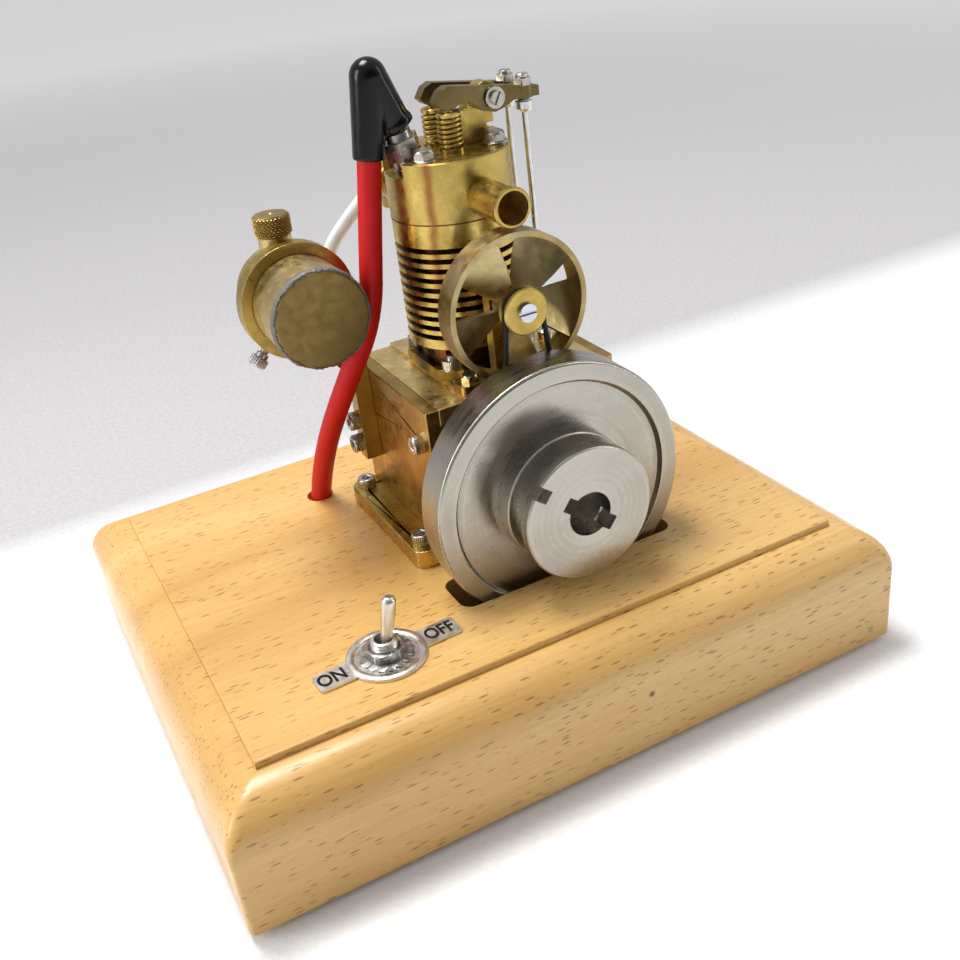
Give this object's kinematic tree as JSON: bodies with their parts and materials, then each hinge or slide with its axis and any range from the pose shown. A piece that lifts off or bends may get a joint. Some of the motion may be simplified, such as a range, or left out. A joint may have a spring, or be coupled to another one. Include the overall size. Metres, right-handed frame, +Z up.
{
  "type": "model petrol engine",
  "caption": "Vertical single-cylinder overhead-valve model petrol engine of brass with a turned flywheel, belt-driven fan, round tank and ignition switch on a beech base.",
  "frame": {"origin": "centre of the plane that the rubber feet stand on, under the middle of the wooden base", "axes": "+Z up; +X along the long edge of the base, from the tank side to the pushrod side; +Y from the flywheel to the carburettor, along the crankshaft"},
  "size_m": [0.1588, 0.131, 0.1404],
  "materials": {
    "beech": "satin",
    "cover_board": "matte",
    "foot_rubber": "matte",
    "module_case": "matte",
    "brass": "machined, lightly tarnished",
    "brass_fan": "pitted",
    "nickel_screw": "satin",
    "zinc": "plated",
    "turned_metal": "turned",
    "steel": "ground",
    "red_cable": "satin",
    "black_boot": "glossy",
    "clear_hose": "translucent",
    "belt_rubber": "matte",
    "switch_plating": "worn"
  },
  "bodies": {
    "engine": {"wooden_base": "beech", "base_cover": "cover_board", "base_feet": "foot_rubber", "ignition_module": "module_case", "engine_plate": "brass", "plate_screws": "nickel_screw", "case_left": "brass", "case_right": "brass", "case_front": "brass", "case_back": "brass", "case_roof": "brass", "case_screw": "nickel_screw", "cylinder": "brass", "cylinder_nuts": "nickel_screw", "cylinder_head": "brass", "head_bolt_1": "nickel_screw", "head_bolt_2": "nickel_screw", "head_bolt_3": "nickel_screw", "head_bolt_4": "nickel_screw", "exhaust_pipe": "brass", "spark_plug": "nickel_screw", "plug_boot": "black_boot", "ignition_cable": "red_cable", "fuel_hose": "clear_hose", "exhaust_spring": "brass", "inlet_spring": "brass", "rocker_stand": "brass", "rocker_shaft": "zinc", "fan_bracket": "brass", "fan_bracket_screws": "nickel_screw", "fan_belt": "belt_rubber", "fuel_tank": "brass", "tank_lid": "brass", "tank_bracket": "brass", "bracket_screws": "nickel_screw", "carburettor": "brass", "switch_body": "switch_plating", "switch_plate": "switch_plating", "switch_nut": "switch_plating"},
    "crank": {"flywheel": "turned_metal", "starter_hub": "turned_metal", "crankshaft_front": "steel", "crankshaft_rear": "steel", "crank_pulley": "turned_metal"},
    "cam": {"camshaft": "steel"},
    "fan": {"fan_wheel": "brass_fan", "fan_pulley": "brass", "fan_axle": "zinc"},
    "piston": {"piston": "turned_metal", "connecting_rod": "brass"},
    "exhaust_rocker": {"exhaust_rocker": "brass"},
    "inlet_rocker": {"inlet_rocker": "brass"},
    "exhaust_valve": {"exhaust_valve": "steel"},
    "inlet_valve": {"inlet_valve": "steel"},
    "exhaust_pushrod": {"exhaust_pushrod": "steel"},
    "inlet_pushrod": {"inlet_pushrod": "steel"},
    "filler_cap": {"filler_cap": "brass"},
    "clamp_screw": {"clamp_screw": "nickel_screw"},
    "throttle": {"throttle_lever": "brass"},
    "switch_lever": {"switch_lever": "switch_plating"}
  },
  "joints": [
    {"name": "crank_spin", "type": "hinge", "parent": "engine", "child": "crank", "pos_m": [0.0122, -0.03, 0.0506], "axis": [0, 1, 0], "continuous": true},
    {"name": "cam_spin", "type": "hinge", "parent": "engine", "child": "cam", "pos_m": [0.0303, 0.026, 0.0536], "axis": [0, 1, 0], "continuous": true},
    {"name": "fan_spin", "type": "hinge", "parent": "engine", "child": "fan", "pos_m": [0.0122, -0.02, 0.09], "axis": [0, 1, 0], "continuous": true},
    {"name": "piston_slide", "type": "slide", "parent": "engine", "child": "piston", "axis": [0, 0, 1], "range_m": [-0.016, 0]},
    {"name": "exhaust_rocker_tilt", "type": "hinge", "parent": "engine", "child": "exhaust_rocker", "pos_m": [0.0225, 0.0003, 0.1282], "axis": [0, -1, 0], "range_deg": [0, 8], "stiffness_Nm_per_rad": 0.027, "springref_deg": -5.73},
    {"name": "exhaust_valve_lift", "type": "slide", "parent": "engine", "child": "exhaust_valve", "axis": [0, 0, -1], "range_m": [0, 0.0015], "deforming": ["exhaust_spring"]},
    {"name": "exhaust_pushrod_lift", "type": "slide", "parent": "engine", "child": "exhaust_pushrod", "axis": [0, 0, 1], "range_m": [0, 0.0012]},
    {"name": "inlet_rocker_tilt", "type": "hinge", "parent": "engine", "child": "inlet_rocker", "pos_m": [0.0225, 0.008, 0.1282], "axis": [0, -1, 0], "range_deg": [0, 8], "stiffness_Nm_per_rad": 0.027, "springref_deg": -5.73},
    {"name": "inlet_valve_lift", "type": "slide", "parent": "engine", "child": "inlet_valve", "axis": [0, 0, -1], "range_m": [0, 0.0015], "deforming": ["inlet_spring"]},
    {"name": "inlet_pushrod_lift", "type": "slide", "parent": "engine", "child": "inlet_pushrod", "axis": [0, 0, 1], "range_m": [0, 0.0012]},
    {"name": "filler_cap_lift", "type": "slide", "parent": "engine", "child": "filler_cap", "axis": [0, 0, 1], "range_m": [0, 0.012]},
    {"name": "clamp_screw_turn", "type": "hinge", "parent": "engine", "child": "clamp_screw", "pos_m": [-0.0329, 0.01765, 0.0803], "axis": [-0.7071, 0, -0.7071], "range_deg": [0, 180]},
    {"name": "throttle_turn", "type": "hinge", "parent": "engine", "child": "throttle", "pos_m": [0.0121, 0.032, 0.115], "axis": [0, 0, 1], "range_deg": [0, 60]},
    {"name": "switch_toggle", "type": "hinge", "parent": "engine", "child": "switch_lever", "pos_m": [-0.0356, -0.0405, 0.0331], "axis": [0, 1, 0], "range_deg": [-24, 0]}
  ],
  "couplings": [
    {"joint": "cam_spin", "follows": "crank_spin", "ratio": -0.5},
    {"joint": "fan_spin", "follows": "crank_spin", "ratio": 2.012},
    {"joint": "exhaust_valve_lift", "follows": "exhaust_rocker_tilt", "m_per_rad": 0.0104},
    {"joint": "exhaust_pushrod_lift", "follows": "exhaust_rocker_tilt", "m_per_rad": 0.0078},
    {"joint": "inlet_valve_lift", "follows": "inlet_rocker_tilt", "m_per_rad": 0.0104},
    {"joint": "inlet_pushrod_lift", "follows": "inlet_rocker_tilt", "m_per_rad": 0.0078}
  ]
}
